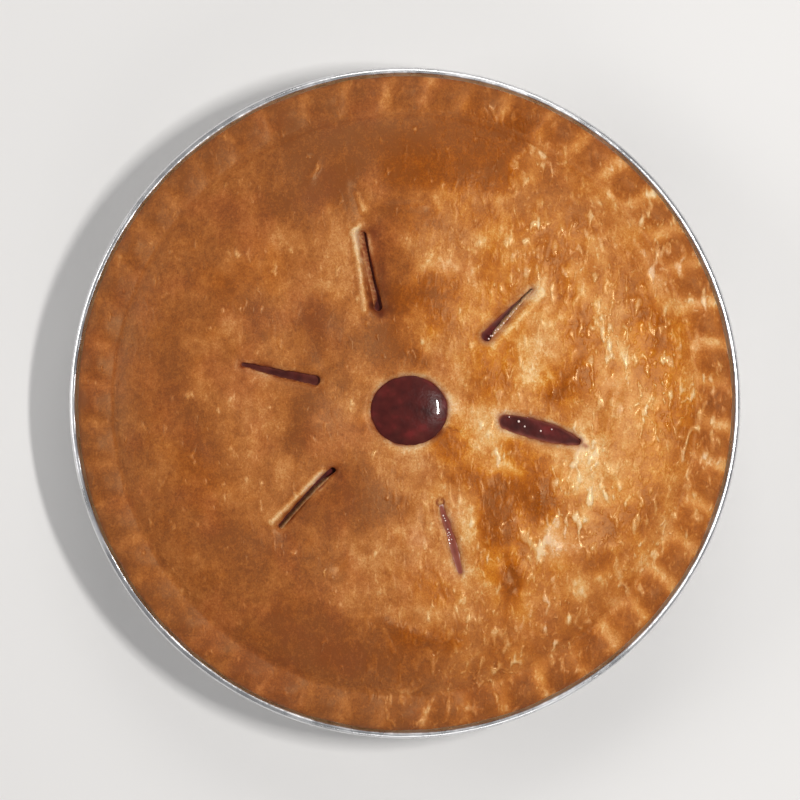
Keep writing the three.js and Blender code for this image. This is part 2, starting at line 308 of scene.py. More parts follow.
def pastryMaterial():
    # reads the lid's attributes: browningAndPaintedLight, stainAndShade, puffed, wash, dry and ridged
    material, tree, shader = newMaterial("bakedPastry", pastryFinish["sockets"])
    puffed = attribute(tree, "puffed")
    blisters = addNode(tree, "ShaderNodeGroup", {"Strength": puffed, "Grain": pastryFinish["grain"]},
                       node_tree=glazedBlisters)
    crest = blisters.outputs["Crest"]
    # juice, and beside some slits painted shade, tinted by the juice ramp
    stainAndShade = attribute(tree, "stainAndShade")
    level = between(tree, stainAndShade, 0.25, 0.5, 1, 0.1)     # little relief on the walls of the vents
    # painted highlight: the crests are painted paler, and below given less amber wash, for the sheen on them
    pale = math2(tree, "MULTIPLY", crest, pastryFinish["crestPaintedHighlight"])
    value = math2(tree, "SUBTRACT", attribute(tree, "browningAndPaintedLight"), pale)
    value = math2(tree, "ADD", value, math2(tree, "MULTIPLY", puffed, pastryFinish["puffDark"]))
    wash = math2(tree, "MULTIPLY", attribute(tree, "wash"), between(tree, crest, 0.1, 0.7, 1.0, 0.25))
    mottle = math2(tree, "MULTIPLY", level, between(tree, puffed, 0.1, 0.9, *pastryFinish["mottle"]))
    colour = addNode(tree, "ShaderNodeGroup",
                     {"BrowningAndPaintedLight": value, "Wash": wash, "Mottle": mottle,
                      "Freckles": pastryFinish["freckles"]},
                     node_tree=crustColour)
    juice = rampOf(tree, stainAndShade, pastryFinish["juice"])
    tree.links.new(tintBy(tree, colour.outputs["Color"], juice), shader.inputs["Base Color"])
    tops = math2(tree, "MAXIMUM", crest, attribute(tree, "ridged"))
    gloss = between(tree, tops, 0.1, 0.7, *pastryFinish["gloss"])
    dull = math2(tree, "MULTIPLY", attribute(tree, "dry"), pastryFinish["dryDull"])
    gloss = math2(tree, "ADD", gloss, dull)
    gloss = math2(tree, "ADD", gloss, math2(tree, "MULTIPLY", stainAndShade, pastryFinish["juiceDull"]))
    tree.links.new(gloss, shader.inputs["Roughness"])
    bumped(tree, shader, math2(tree, "MULTIPLY", blisters.outputs["Height"], level))
    return material


underFinish = {
    "colour": {"BrowningAndPaintedLight": 0.3, "Mottle": 0.4, "Freckles": 0.2},
    "blisters": {"Strength": 0.5, "Grain": 1.6},
    "sockets": {"Roughness": 0.62},
}


def underPastryMaterial():
    material, tree, shader = newMaterial("underPastry", underFinish["sockets"])
    colour = addNode(tree, "ShaderNodeGroup", underFinish["colour"], node_tree=crustColour)
    tree.links.new(colour.outputs["Color"], shader.inputs["Base Color"])
    blisters = addNode(tree, "ShaderNodeGroup", underFinish["blisters"], node_tree=glazedBlisters)
    bumped(tree, shader, blisters.outputs["Height"])
    return material


gelFinish = {
    "tones": [(0.3, (0.042, 0.007, 0.006)), (0.55, (0.080, 0.011, 0.009)), (0.8, (0.17, 0.018, 0.017))],
    "toneSize": 6,
    "rosy": (0.26, 0.07, 0.045, 1),      # where it is thin
    # painted glints: near white on the beads, for the glints on them, and the pale of the thinnest gel
    "paintedGlints": (0.9, 0.72, 0.66, 1),       # where it is thinnest
    "surfaceSize": 1.6,
    "surfaceHeight": 0.12,
    "poolCoat": 0.36,                    # how wet the still gel in the round vent is
    "slitCoat": 0.08,                    # and the gel in the slits
    "sockets": {"Specular IOR Level": 0.1, "Coat Roughness": 0.03},
}


def cherryMaterial():
    # reads the filling's attributes: thinnessAndGlint and pool
    material, tree, shader = newMaterial("cherryGel", gelFinish["sockets"])
    deep = rampOf(tree, objectNoise(tree, gelFinish["toneSize"], 1.0, 3), gelFinish["tones"])
    thinnessAndGlint = attribute(tree, "thinnessAndGlint")
    rosy = mixColour(tree, between(tree, thinnessAndGlint, 0, 0.5), deep, gelFinish["rosy"])
    paintedGlints = mixColour(tree, between(tree, thinnessAndGlint, 0.5, 1), rosy, gelFinish["paintedGlints"])
    tree.links.new(paintedGlints, shader.inputs["Base Color"])
    pool = attribute(tree, "pool")
    tree.links.new(pool, shader.inputs["Coat Weight"])
    rough = between(tree, pool, gelFinish["slitCoat"], gelFinish["poolCoat"], 0.5, 0.3)
    tree.links.new(rough, shader.inputs["Roughness"])
    bumped(tree, shader, objectNoise(tree, gelFinish["surfaceSize"]), gelFinish["surfaceHeight"])
    return material


foilFinish = {
    "tones": [(0.3, (0.70, 0.70, 0.71)), (0.7, (0.86, 0.86, 0.87))],
    "cloudSize": 9,
    "roughness": (0.22, 0.36),
    "crinkleSize": 2.6,
    "crinkleHeight": 0.1,
    "sockets": {"Metallic": 1.0},
}


def foilMaterial():
    material, tree, shader = newMaterial("pressedFoil", foilFinish["sockets"])
    cloud = objectNoise(tree, foilFinish["cloudSize"], 1.0, 3)
    tree.links.new(rampOf(tree, cloud, foilFinish["tones"]), shader.inputs["Base Color"])
    tree.links.new(between(tree, cloud, 0.3, 0.7, *foilFinish["roughness"]), shader.inputs["Roughness"])
    fine = objectNoise(tree, foilFinish["crinkleSize"], 1.0, 3)
    broad = objectNoise(tree, foilFinish["cloudSize"], 1.0, 1, 0.5, 1.5)
    bumped(tree, shader, math2(tree, "ADD", fine, broad), foilFinish["crinkleHeight"])
    return material


bakedPastry = pastryMaterial()
underPastry = underPastryMaterial()
cherryGel = cherryMaterial()
pressedFoil = foilMaterial()
print("materials made")


# the vents, which the lid and the filling share; lean is how far in x and y a cut has run sideways at its
# foot, and pale is how much paler the wall that slopes into view is painted: partly less juice and browning,
# partly a painted highlight
hole = {
    "x": 1.6,
    "y": -2.4,
    "radius": 12.5,
    "flatten": 0.65,         # wider across and narrower along, by this
    "shift": -0.3,           # its middle moved this far towards the angle, in radians
    "shiftAngle": 0.7,
    "lean": (-0.1, 0.1),
    "pale": 0.3,
}

# from the end near the middle to the outer end; widths are at the start, the middle and the end,
# and bow is how far a slit bends to the left
slits = [
    {"start": (-8.6, 30.6), "end": (-14.6, 58.0), "widths": (3.6, 2.7, 3.2),
     "bow": 0.2, "lean": (2.8, 0.15), "pale": 0.4},
    {"start": (26.1, 21.0), "end": (43.0, 38.5), "widths": (4.4, 2.9, 1.25),
     "bow": 0.0, "lean": (-1.5, 1.5), "pale": 0.82},
    {"start": (32.0, -5.9), "end": (59.2, -13.4), "widths": (4.4, 7.0, 2.4),
     "bow": 0.3, "lean": (0.0, 0.3), "pale": 0.3},
    {"start": (12.0, -34.4), "end": (18.8, -57.6), "widths": (1.6, 2.6, 1.5),
     "bow": 0.3, "lean": (-0.4, 0.0), "pale": 0.3},
    {"start": (-23.4, -21.7), "end": (-42.4, -42.3), "widths": (2.8, 2.4, 2.2),
     "bow": -0.4, "lean": (-1.5, 1.5), "pale": 0.6},
    {"start": (-28.3, 7.3), "end": (-55.2, 13.2), "widths": (3.8, 3.2, 2.0),
     "bow": 0.3, "lean": (0.1, 0.6), "pale": 0.5},
]

cutShape = {
    "waver": 0.16,           # slow unevenness of a cut edge
    "nicks": 0.08,           # and fine unevenness
    "inset": 0.15,
}


def holeDistance(x, y):
    dx, dy = x - hole["x"], y - hole["y"]
    angle = np.arctan2(dy, dx)
    edge = hole["radius"] + hole["flatten"] * np.cos(2 * angle)
    edge = edge + hole["shift"] * np.cos(angle - hole["shiftAngle"])
    return np.hypot(dx, dy) - edge


def slitDistance(slit, x, y):
    (x1, y1), (x2, y2) = slit["start"], slit["end"]
    w1, w2, w3 = slit["widths"]
    length = math.hypot(x2 - x1, y2 - y1)
    ux, uy = (x2 - x1) / length, (y2 - y1) / length
    t = ((x - x1) * ux + (y - y1) * uy) / length
    t = np.clip(t, w1 / 2 / length, 1 - w3 / 2 / length)        # the ends are round
    sideways = slit["bow"] * np.sin(math.pi * t)
    centreX = x1 + ux * t * length - uy * sideways
    centreY = y1 + uy * t * length + ux * sideways
    width = w1 * (1 - t) * (1 - 2 * t) + 4 * w2 * t * (1 - t) + w3 * t * (2 * t - 1)
    return np.hypot(x - centreX, y - centreY) - width / 2


def ventDistances(x, y):
    # from the round vent and from each slit, below zero inside one
    return np.array([holeDistance(x, y)] + [slitDistance(slit, x, y) for slit in slits])


def plainDistance(x, y):
    return ventDistances(x, y).min(axis=0)


def ventDistance(x, y):
    # the same, but slightly uneven, as cut dough is
    uneven = cutShape["waver"] * noiseField(x, y, 2.6, 4.2) + cutShape["nicks"] * noiseField(x, y, 1.1, 8.1)
    return plainDistance(x, y) + uneven + cutShape["inset"]


def ventLean(x, y):
    # the lean in x and in y of the nearest vent's wall, and how pale it stays
    nearest = ventDistances(np.array([x]), np.array([y])).argmin()
    if nearest == 0:
        return (*hole["lean"], hole["pale"])
    slit = slits[nearest - 1]
    (x1, y1), (x2, y2) = slit["start"], slit["end"]
    t = ((x - x1) * (x2 - x1) + (y - y1) * (y2 - y1)) / ((x2 - x1) ** 2 + (y2 - y1) ** 2)
    grown = float(smoothStep(0.0, 0.25, t) * smoothStep(1.06, 0.96, t))      # none at the two ends
    return slit["lean"][0] * grown, slit["lean"][1] * grown, slit["pale"]


lidShape = {
    "domeRadius": 98.7,
    "domeRise": 8.74,
    "domePowers": (5, 0.75),    # how flat the dome is in the middle, and how round its shoulder
    "sealHeight": 34.2,
    "thickness": 3.2,
    "middleEnds": (84, 97),     # where the swellings of the dome fade out
    "wrinkleHeight": 0.38,
    "blisterSize": (2.4, 5.2),
    "waveSize": (4.8, 7.5),
    "wrinkleSlant": 0.14,
    "lipRound": 2.5,            # how far from a vent the surface rolls down
    "lipDrop": 1.3,
    "rimStep": 0.25,
    "crimps": 48,
    "crimpHeight": 1.9,
    "crimpRadius": 105.4,
    "crimpReach": 4.1,
    "turnRadius": 107.6,        # where the rim turns down, over what reach, and by how much
    "turnReach": 3.2,
    "turnDrop": 0.9,
    "gridCells": 252,           # cells across the domed middle
    "gridRadius": 95.0,
    "refined": (-1.2, 1.8),     # distances from a vent between which the cells are halved
    "eased": 0.9,               # distance from a vent within which the cells are evened out
    "easeTurns": 9,
    "scrapFaces": 20,           # a loose scrap at a narrow end, of fewer faces than this, stays closed
    "rimRings": 13,
    "rimInset": 0.35,           # from the last ring to the trimmed edge
    # the walls of the vents: depth, and how far outwards
    "ventWall": [(0.25, -0.10), (0.7, -0.16), (1.3, -0.10), (2.0, 0.06), (2.7, 0.16), (3.3, 0.2)],
    "fullSlope": 1.5,           # the lean of a wall that slopes fully into view
    "leastSlope": 0.4,          # the share of its paleness that the other walls have
    "trimRound": 0.25,
    "trimWidth": 0.9,
    "underRadii": (100, 92, 82, 72),     # rings of the underside, down to where the flat fill is hidden
}

# swellings, as (x, y, reach, height) in mm
swells = [(6, 31, 9, 1.2), (-29, 25, 6, 0.9), (58, 7, 8, 1.0), (45, -30, 8, 1.3), (32, -42, 8, 1.3),
          (-16, -32, 10, 0.6), (-33, -7, 7, 0.9), (15, -78, 12, 0.8), (60, -50, 9, 0.9), (36, -58, 6, 0.8),
          (1, 61, 8, 0.8), (17, 82, 14, 0.7), (26, 11, 6, 0.6), (-62, 34, 10, 1.1), (-74, -14, 9, 1.0),
          (-57, -52, 11, 1.2), (-38, 70, 10, 0.9), (66, 40, 8, 0.7)]

# folds, lips and hollows, as (x1, y1, x2, y2, width, height) in mm
folds = [(-16.5, 73, -13.7, 59, 2.2, -0.6), (72, 5, 66.5, -12, 2.0, 0.7), (66.5, -12, 69.5, -24, 2.0, 0.6),
         (43, 40, 46, 53, 1.6, 0.6), (-7, -74, 11, -81, 2.2, 0.7), (33.5, -53, 37.5, -62, 1.8, -0.7),
         (-22.5, -55.5, -17, -49, 1.8, -0.6), (-33.5, 31, -27, 13, 2.4, -0.25),
         (64.8, -3.4, 66.2, -12.4, 1.2, -0.5), (66.2, -12.4, 68.9, -22.5, 1.2, -0.5),
         (4.5, -34, 1.5, -46, 2.0, 0.45), (-7, 66, 6, 66.5, 1.5, 0.5), (-32, 75, -29, 81, 1.8, 0.4)]

# raised lips, painted paler: partly pale pastry, partly a painted highlight on their crests; most are beside
# the slits
lipsAndHighlights = [(-17.0, 57.8, -13.4, 31.2, 1.0, 0.95), (-17.9, 57.2, -15.2, 59.7, 1.0, 0.9),
        (-16, 70.5, -13.9, 65, 0.7, 0.7), (-31.2, 76.6, -29.2, 79.6, 0.7, 0.5),
        (29.6, 19.1, 46.6, 36.7, 1.1, 0.5), (45.2, 36.4, 46.6, 41.5, 1.5, 0.6),
        (59.8, -11.4, 60.2, -14.6, 1.2, 0.5), (-27.7, -23.1, -45.0, -40.3, 1.1, 1.0)]
crack = (14.1, -8.1, 18.5, -9.7, 0.35, -0.7)          # runs out from the round vent
hollows = [(-10.5, 57, -6.4, 33, 3.4, -0.6), (24.2, 23.6, 39.2, 40.2, 3.0, -0.5),
           (-22.2, -25.2, -39.6, -44.4, 3.4, -0.6), crack]
bubble = {"x": 11.9, "y": -33.4, "radius": 1.2, "width": 0.4, "depth": 0.5}      # burst, at the fourth slit


def bubbleField(x, y):
    # 1 along the ring that the bubble has left
    away = np.hypot(x - bubble["x"], y - bubble["y"]) - bubble["radius"]
    return np.exp(-(away / bubble["width"]) ** 2)


def domeHeight(r):
    share = np.clip(r / lidShape["domeRadius"], 0, 1)
    flatness, roundness = lidShape["domePowers"]
    return lidShape["sealHeight"] + lidShape["domeRise"] * (1 - share ** flatness) ** roundness


def wrinkles(x, y):
    # blisters drawn out up and down the pie, with soft waves between them
    warpX = x + 1.8 * noiseField(x, y, 12, 1.3) - lidShape["wrinkleSlant"] * y
    warpY = y + 1.8 * noiseField(x, y, 12, 7.7)
    blisters = 1.05 * smoothStep(0.13, 0.63, noiseField(warpX, warpY, lidShape["blisterSize"], 2.9))
    waves = noiseField(warpX, warpY, lidShape["waveSize"], 4.6)
    return blisters + 0.35 * waves - 0.25


def wrinkleStrength(x, y):
    # much on the right and little on the left, in patches
    patches = noiseField(x, y, (15, 19), 3.3)
    right = smoothStep(-10, 55, x - 0.3 * y * (y < 0))
    return (0.16 + 0.84 * right) * np.clip(0.85 + 0.8 * patches, 0.4, 1.2)


def crimpRidge(x, y):
    # 1 on top of a crimp, 0 between two; broad tops and narrow valleys
    sweep = 0.09 * (np.hypot(x, y) - 104) + 0.5 * noiseField(x, y, 30, 6.6)
    wave = 0.5 + 0.5 * np.cos(lidShape["crimps"] * np.arctan2(y, x) + sweep)
    return 1 - (1 - wave) ** 1.8


def lidHeight(x, y):
    # returns the height of the lid in mm and its fine relief alone
    r = np.hypot(x, y)
    middle = 1 - smoothStep(*lidShape["middleEnds"], r)
    rolling = 0.3 * np.sin(x / 5.3 + 1.1 + 0.8 * np.sin(y / 11)) * np.cos(y / 8.7 + 0.4)
    broad = rolling + spotField(swells, x, y) + lineField(folds, x, y) + lineField(lipsAndHighlights, x, y)
    broad += lineField(hollows, x, y) - bubble["depth"] * bubbleField(x, y)
    relief = wrinkles(x, y) * wrinkleStrength(x, y) * (0.35 + 0.65 * middle)
    crimp = np.exp(-((r - lidShape["crimpRadius"]) / lidShape["crimpReach"]) ** 2)
    uneven = 0.86 + 0.2 * noiseField(x, y, 16, 9.4)
    rise = lidShape["crimpHeight"] * crimp * crimpRidge(x, y) * uneven
    turned = np.clip((r - lidShape["turnRadius"]) / lidShape["turnReach"], 0, 1.1) ** 2
    rim = lidShape["sealHeight"] + lidShape["rimStep"] * smoothStep(98, 101, r) + rise
    rim = rim - lidShape["turnDrop"] * turned
    height = np.where(r < lidShape["domeRadius"], domeHeight(r) + middle * broad, rim)
    return height + lidShape["wrinkleHeight"] * relief, relief


def lidUnder(r):
    return np.maximum(domeHeight(r) - lidShape["thickness"], rimSeat)


# how the lid is coloured: what each thing adds to a browning value of 0, pale, to 1, dark; most of it is the
# bake, but the sides and some dark streaks also carry painted shade, the lips a painted highlight, and the
# relief both
lidBaking = {
    "plain": 0.36,
    # the extra on the left is partly painted shade
    "dark": (1.2, 0.6),         # strength of the dark streaks, and how much more of it on the left
    "light": 0.9,
    "clouds": (0.18, 0.2),      # broad and fine
    "wash": 0.14,
    "shoulder": 0.26,
    "rim": 0.2,
    # darker on the left and paler on the right: partly browning, partly painted shade
    "left": 0.32,
    "right": -0.08,
    # painted highlight and shade: raised wrinkles are painted paler and their hollows darker
    "relief": -0.12,
    "ventEdge": (0.22, 0.25),   # paler by this, and how much that varies
    "ventReach": 1.2,
    "collar": 0.3,              # the pale ring round the round vent
    "collarReach": 2.2,
    # painted highlight, in part: how much paler the raised lips are
    "lipsAndHighlights": 0.6,
    "deep": 0.6,                # darker than this comes slowly
    "least": 0.13,
}

# streaks are (x1, y1, x2, y2, width, strength) in mm
# some dark streaks are painted shade as well as browning: the bands along the top and bottom edges and the
# patches at the upper left
darkStreaks = [
    (-3.4, 78, 30, 79, 5.5, 0.58), (-34, 89, 36, 91, 6, 0.6), (52, 0, 53, -5, 3.5, 0.2),
    (38, -15, 40, -20, 3, 0.2), (34, -39, 40, -44, 3.5, 0.2), (56, 9, 57, -2, 4, 0.15),
    (10, 0, 13, -3, 3, 0.15), (8, 31, 10, 28, 3, 0.12), (54, 31, 56, 29, 3, 0.12),
    (56, -38, 60, -45, 3, 0.12), (24, 60, 26, 57, 3, 0.1), (40, 58, 52, 56, 4, 0.15),
    (42, 47, 43, 42, 3, 0.15), (57, 36, 62, 32, 3.5, 0.12), (65, 22, 68, 14, 3, 0.1),
    (73, 36, 75, 33, 3, 0.15), (24, -53, 27, -56, 3, 0.15), (-36, -35, -26, -40, 5, 0.35),
    (-35, -55, -32, -58, 4, 0.25), (-36, -76, -22, -80, 5, 0.2), (-19, 78, -18, 70, 4, 0.3),
    (-36, 80, -34, 76, 4, 0.3), (-12, 36, -9, 24, 4, 0.25), (-33, 29, -22, 25, 4, 0.25),
    (-4, 65, 6, 61, 4.5, 0.25), (19, 65.5, 32, 61, 4, 0.15), (50, 49, 54, 38, 4, 0.32),
    (-34, -3, -33, -9, 5, 0.35), (-28, 29, -25, 27, 4, 0.2), (-24, 11, -20, 8, 5, 0.2),
    (-36, -78, -20, -86, 8, 0.35), (61, 25, 62, 11, 4, 0.16), (71, -46, 77, -44, 5, 0.1),
    (9, -62, 12, -64, 4, 0.2), (-17.8, 82, -22, 72, 4.6, 0.45), (-29.2, 85, -29.2, 75.6, 3.5, 0.25),
    (-7.1, 63.2, -5.7, 24.5, 4.3, 0.18), (-1, 36, 14, 38, 5, 0.42), (-4.4, 34.6, -3, 19.5, 3.9, 0.3),
    (-7, 23, 5, 15, 3.8, 0.28), (-3, 48.5, -1, 46, 2.5, 0.18), (-9.7, 17.1, -4.4, 12.4, 3.5, 0.2),
    (-31.2, 27.2, -29.2, 18.5, 4.3, 0.38), (-17.8, 19.5, -13.1, 21.8, 3.9, 0.2),
    (-31, 1.7, -38, -13, 3.5, 0.45),
    (-17.8, -30.9, -4.4, -34.3, 6.6, 0.34), (-18, -24, -13, -40, 5, 0.2), (49.4, 8.4, 50.7, 3.7, 4.6, 0.38),
    (60.5, 9.1, 61.5, 6.4, 3.5, 0.28), (56.8, 24.5, 60.1, 21.2, 3.9, 0.18), (44, -22, 48, -34, 5, 0.45),
    (30.5, -34, 32, -45, 5, 0.5), (31.9, -28, 43.7, -33, 5, 0.35), (16.8, -25.2, 30.2, -26.5, 3.5, 0.22),
    (34.3, -53.4, 36, -62.2, 2.7, 0.4), (52.1, -56.8, 65.5, -52.8, 4.6, 0.12),
    (69.6, -41, 82.3, -37.6, 4.6, 0.12),
    (-5.7, -74.3, -1, -77.6, 3, 0.22), (0, -78.3, 15.1, -81.3, 3.5, 0.16), (-42, -80, 0, -88, 9, 0.36),
    (79, 39.6, 84, 24.5, 3.9, 0.22), (28.6, 49.7, 29.9, 32.9, 3.5, 0.08),
    (9.4, -9.7, 15.8, -15.1, 3.1, 0.22),
    (-35.3, -47.7, -25.2, -52.8, 5.4, 0.15), (-58, 36, -47, 30, 6, 0.3), (-72, -6, -66, -18, 6, 0.3),
    (-60, -44, -50, -56, 7, 0.3), (-42, 66, -30, 74, 7, 0.3), (-80, 24, -78, 6, 5, 0.2)]
lightStreaks = [
    (13.4, 43, 23.5, 31.2, 5.4, 0.15), (33.6, 21.2, 50.4, 13.8, 4.6, 0.1), (43.7, 10.4, 46, 8.4, 2.3, 0.3),
    (16.8, -0.7, 30.2, -10.8, 5, 0.2), (59.8, -14.1, 62.8, -32.6, 4.6, 0.26),
    (64, -32.6, 62, -38, 3.9, 0.12),
    (34, -12.6, 37, -13, 3, 0.1), (48.4, -41, 49.7, -52.8, 3.1, 0.22), (-20.2, 6, -17.8, -0.7, 3.1, 0.15),
    (20.2, -44.4, 22, -56, 5.4, 0.16), (39, 9, 46, 7, 4, 0.3), (32, -20, 35, -23, 3.5, 0.35),
    (52, -36, 56, -39, 4, 0.1), (23.5, -36, 23.5, -42, 3, 0.25), (33, -19, 34, -25, 3.5, 0.2),
    (25, -21, 27, -24, 3, 0.15), (46.5, -21.5, 48, -24, 3, 0.12), (65, -13, 70, -25, 4, 0.12),
    (56, -60, 62, -54, 4, 0.12), (80, 26, 84, 12, 4, 0.15), (58, -63, 68, -57, 5, 0.25),
    (62, 54, 65, 49, 4, 0.25), (32, -51, 34, -54, 3, 0.15), (68, 10, 72.2, 1, 4.6, 0.08),
    (21.8, 66.5, 25.2, 54.8, 5.8, 0.1), (41, 38, 44.7, 45.4, 3.1, 0.2), (52.1, 44.7, 65.5, 24.5, 5.4, 0.1),
    (-52, 6, -60, -20, 6, 0.12), (-44, 52, -56, 56, 6, 0.12)]

# where the egg wash lies thick the crust turns amber
amberStreaks = [
    (30, 54, 33.5, 32, 6, 0.35), (31, 26, 30, 10, 8, 0.8), (14, -14, 19, -9, 5, 0.7),
    (20, -18, 25, -26, 5, 0.6), (36, -18, 46, -30, 7, 0.8), (30, -34, 33, -56, 6, 0.8),
    (36, -56, 37, -66, 5, 0.5), (4, 38, 10, 28, 7, 0.7), (-4, 78, 34, 79, 6, 0.9),
    (-2, -79, 16, -80, 5, 0.4), (56, 20, 60, 10, 6, 0.3), (74, -30, 84, -20, 8, 0.3),
    (88, 24, 90, -4, 8, 0.6), (80, 26, 84, 12, 5, 0.5), (8, -60, 12, -65, 5, 0.5),
    (2, 62, 4, 60, 5, 0.4), (-62, 40, -46, 44, 8, 0.4), (-74, -20, -66, -30, 8, 0.4)]

# darker bands beside the vents: juice soaked into the crust, and painted shade where the crust dips into a
# slit
seepsAndShade = [
    (-10.4, 57, -5.8, 32, 2.8, 0.4), (-15.4, 56, -11.2, 33, 1.3, 0.36), (-11, 33, -8.4, 29.8, 1.5, 0.55),
    (24.6, 23.4, 40.5, 39.5, 1.6, 0.2), (-22.2, -24.8, -40.6, -45, 2.4, 0.25),
    (-29, 6, -54, 11.6, 1.8, 0.25), (13.5, -35.5, 19.5, -57, 1.6, 0.15), (60, -14, 61, -14.6, 0.9, 0.6)]


def strayed(x, y):
    # places shifted unevenly, so that a streak has no straight sides
    return x + 2.4 * noiseField(x, y, 8, 11.3, 3), y + 2.4 * noiseField(x, y, 8, 14.9, 3)


def washing(x, y):
    # how thick the egg wash lies, 0 to 1
    strayX, strayY = strayed(x, y)
    patches = lineField(amberStreaks, strayX, strayY)
    patches += 1.6 * lineField(darkStreaks, strayX, strayY) * smoothStep(-30, 25, x)
    return np.clip(0.42 * smoothStep(-20, 40, x) + patches + 0.3 * noiseField(x, y, 9, 17.2, 2), 0, 1)


def fadeFrom(distance, reach):
    # 1 at a vent's edge, falling away over the reach
    return np.exp(-(np.clip(distance, 0, 20) / reach) ** 2)


# the bake, with painted shade and painted highlight added in
def browningAndPaintedLight(x, y, relief, ventGap):
    r = np.hypot(x, y)
    strayX, strayY = strayed(x, y)
    strength, more = lidBaking["dark"]
    # the dark streaks, stronger on the left: browning, and in places painted shade
    dark = (strength + more * smoothStep(20, -15, x)) * lineField(darkStreaks, strayX, strayY)
    value = lidBaking["plain"] + dark - lidBaking["light"] * lineField(lightStreaks, strayX, strayY)
    value += lidBaking["wash"] * washing(x, y)
    broad, fine = lidBaking["clouds"]
    cloud = broad * noiseField(x, y, 13, 2.2, 2) + fine * noiseField(x, y, (5, 6), 5.5, 2)
    shoulder = lidBaking["shoulder"] * smoothStep(66, 90, r) * (1 - 0.5 * smoothStep(55, 85, x))
    rim = lidBaking["rim"] * smoothStep(97, 106, r)
    tips = (crimpRidge(x, y) - 0.6) * smoothStep(98, 103, r) * (0.5 + 0.3 * noiseField(x, y, 9, 23.1))
    # sides: partly browning, partly painted shade darkening the left
    sides = lidBaking["left"] * smoothStep(40, -40, x) + lidBaking["right"] * smoothStep(20, 60, x)
    # the last term is painted highlight and shade: paler on raised wrinkles, darker in their hollows
    value += cloud + shoulder + rim + tips + sides + lidBaking["relief"] * np.clip(relief, -0.5, 1.4)
    paler, varying = lidBaking["ventEdge"]
    edge = np.clip(paler + varying * noiseField(x, y, 3.5, 16.4), 0, 1)
    value -= edge * fadeFrom(ventGap, lidBaking["ventReach"])
    collar = np.clip(0.6 + 0.8 * noiseField(x, y, 6, 26.3), 0.1, 1)
    value -= lidBaking["collar"] * collar * fadeFrom(holeDistance(x, y), lidBaking["collarReach"])
    over = np.clip(value - lidBaking["deep"], 0, 9)
    deep = lidBaking["deep"] + 0.4 * (1 - np.exp(-over / 0.4))
    value = np.clip(np.where(value > lidBaking["deep"], deep, value), lidBaking["least"], 1)
    # the raised lips made paler: partly pale pastry, partly painted highlight
    return np.clip(value - lidBaking["lipsAndHighlights"] * np.clip(lineField(lipsAndHighlights, x, y), 0, 1), 0, 1)


def juiceStainAndShade(x, y, gap):
    # juice on the edges of the vents, and where it has soaked in, bubbled out or run into the crack; the
    # soaked bands beside some slits are painted shade as well
    edge = np.clip(0.4 + 0.5 * noiseField(x, y, 3, 3.9), 0, 0.65) * np.exp(-np.clip(gap, 0, 9) / 0.8)
    # soaked bands: partly juice, partly painted shade beside the slits
    soakedAndShaded = lineField(seepsAndShade, x, y) * (0.8 + 0.5 * noiseField(x, y, 3, 6.9))
    cracked = 0.5 * np.clip(-lineField([crack], x, y), 0, 1)
    return np.maximum.reduce([edge, soakedAndShaded, 0.55 * bubbleField(x, y), cracked])


def discGrid(bm, cells, radius):
    # a square grid pulled out to a disc with even cells
    bmesh.ops.create_grid(bm, x_segments=cells, y_segments=cells, size=1)
    for vert in bm.verts:
        u, v = vert.co.x, vert.co.y
        if abs(u) >= abs(v):
            r, angle = u, math.pi / 4 * (v / u if u else 0)
        else:
            r, angle = v, math.pi / 2 - math.pi / 4 * u / v
        vert.co = Vector((r * radius * math.cos(angle), r * radius * math.sin(angle), 0))


def refineNear(bm, low, high):
    # halves the cells whose edges lie between two distances from a vent
    bm.verts.index_update()
    x, y, _ = coordinates(bm.verts)
    gap = plainDistance(x, y)
    near = (gap > low) & (gap < high)
    edges = [e for e in bm.edges if near[e.verts[0].index] and near[e.verts[1].index]]
    bmesh.ops.subdivide_edges(bm, edges=edges, cuts=1, use_grid_fill=True)


def ventSlope(x, y, step=0.05, distance=ventDistance):
    # direction away from the nearest vent
    slopeX = distance(x + step, y) - distance(x - step, y)
    slopeY = distance(x, y + step) - distance(x, y - step)
    size = np.maximum(np.hypot(slopeX, slopeY), 1e-9)
    return slopeX / size, slopeY / size


def evenLoops(verts):
    # moves each vertex of a vent's edge half way to the middle of its two neighbours along it
    middles = []
    for vert in verts:
        sides = [e.other_vert(vert).co for e in vert.link_edges if e.is_boundary]
        middles.append((sides[0] + sides[1]) / 2)
    for vert, middle in zip(verts, middles):
        vert.co = (vert.co + middle) / 2


def drawToEdge(verts, steps):
    # moves vertices square to a vent's edge, on to it
    x, y, _ = coordinates(verts)
    for _ in range(steps):
        slopeX, slopeY = ventSlope(x, y)
        distance = ventDistance(x, y)
        x, y = x - distance * slopeX, y - distance * slopeY
    for vert, newX, newY in zip(verts, x, y):
        vert.co.x, vert.co.y = newX, newY


def connectedFaces(seeds, allowed, barrier=frozenset()):
    # the allowed faces that can be reached from the seeds without crossing an edge of the barrier
    growing = [f for f in seeds if f in allowed]
    reached = set(growing)
    while growing:
        for edge in set(growing.pop().edges) - barrier:
            fresh = [f for f in edge.link_faces if f in allowed and f not in reached]
            reached.update(fresh)
            growing.extend(fresh)
    return reached


